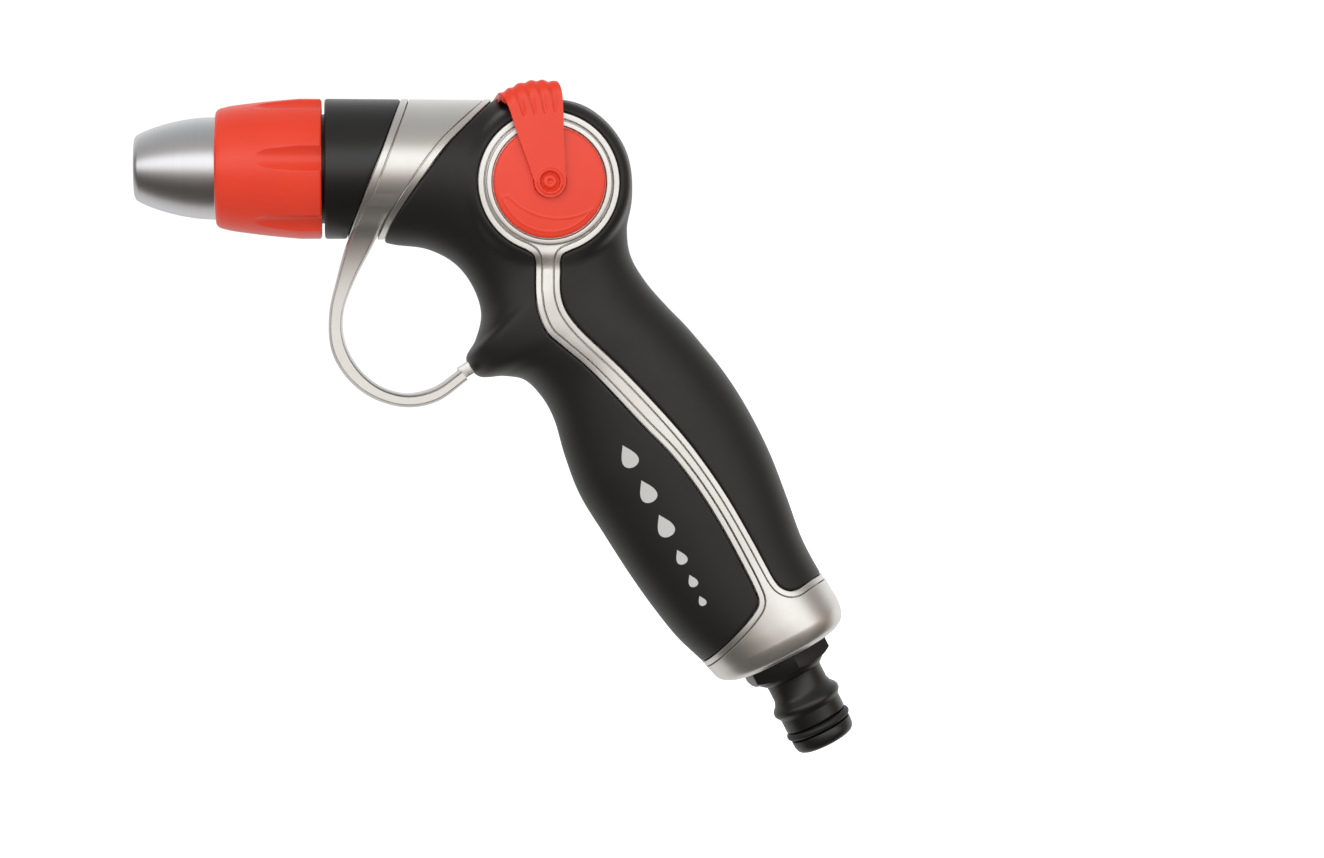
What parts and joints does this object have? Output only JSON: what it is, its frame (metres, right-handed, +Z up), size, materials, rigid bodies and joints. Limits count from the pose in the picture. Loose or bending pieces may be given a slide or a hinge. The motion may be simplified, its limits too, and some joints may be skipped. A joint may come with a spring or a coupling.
{
  "type": "water spray nozzle gun",
  "caption": "Pistol-grip water spray gun with a twist nozzle, a thumb lever valve, a finger guard, a soft grip and a quick-connect hose inlet.",
  "frame": {"origin": "middle of the hand grip, on the gun's mid-plane", "axes": "+Z up with the barrel level, nozzle towards -X, back of the hand towards +X, +Y to the right hand of a user who holds the gun and looks along the nozzle"},
  "size_m": [0.1719, 0.0432, 0.1623],
  "materials": {
    "silver_body": "satin silver-painted ABS",
    "soft_grip": "overmoulded soft TPR, fine matt grain",
    "black_plastic": "moulded black ABS, satin",
    "red_plastic": "moulded orange-red ABS, satin",
    "turned_aluminium": "turned and lightly brushed",
    "turned_brass": "turned, uncoated",
    "acetal": "moulded white acetal",
    "seal_rubber": "moulded NBR",
    "stainless_steel": "turned and pressed stainless"
  },
  "bodies": {
    "gun": {"gun_body": "silver_body", "grip_cover": "soft_grip", "front_collar": "black_plastic", "finger_guard": "silver_body", "outlet_seat": "acetal", "inlet_seat": "acetal", "valve_cap_left": "silver_body", "valve_cap_right": "silver_body", "barrel_tube": "turned_brass", "barrel_seal": "seal_rubber", "spray_stem": "stainless_steel", "hose_nipple": "black_plastic", "nipple_seal": "seal_rubber", "inlet_washer": "seal_rubber", "inlet_filter": "stainless_steel"},
    "lever": {"thumb_lever": "red_plastic", "lever_disc_left": "red_plastic", "lever_disc_right": "red_plastic", "pivot_screw_left": "red_plastic", "pivot_screw_right": "red_plastic", "valve_rotor": "acetal", "rotor_seal_left": "seal_rubber", "rotor_seal_right": "seal_rubber"},
    "nozzle_slip": {"nozzle_seal": "seal_rubber"},
    "nozzle_head": {"nozzle_tip": "turned_aluminium", "adjusting_sleeve": "red_plastic", "thread_insert": "acetal"}
  },
  "joints": [
    {"name": "lever_turn", "type": "hinge", "parent": "gun", "child": "lever", "pos_m": [-0.033, 0, 0.072], "axis": [0, 1, 0], "range_deg": [0, 75]},
    {"name": "nozzle_travel", "type": "slide", "parent": "gun", "child": "nozzle_slip", "axis": [-1, 0, 0], "range_m": [0, 0.006]},
    {"name": "nozzle_turn", "type": "hinge", "parent": "nozzle_slip", "child": "nozzle_head", "pos_m": [-0.098, 0, 0.07555], "axis": [-1, 0, 0], "range_deg": [0, 540]}
  ],
  "couplings": [
    {"joint": "nozzle_turn", "follows": "nozzle_travel", "rad_per_m": 1570.7}
  ]
}
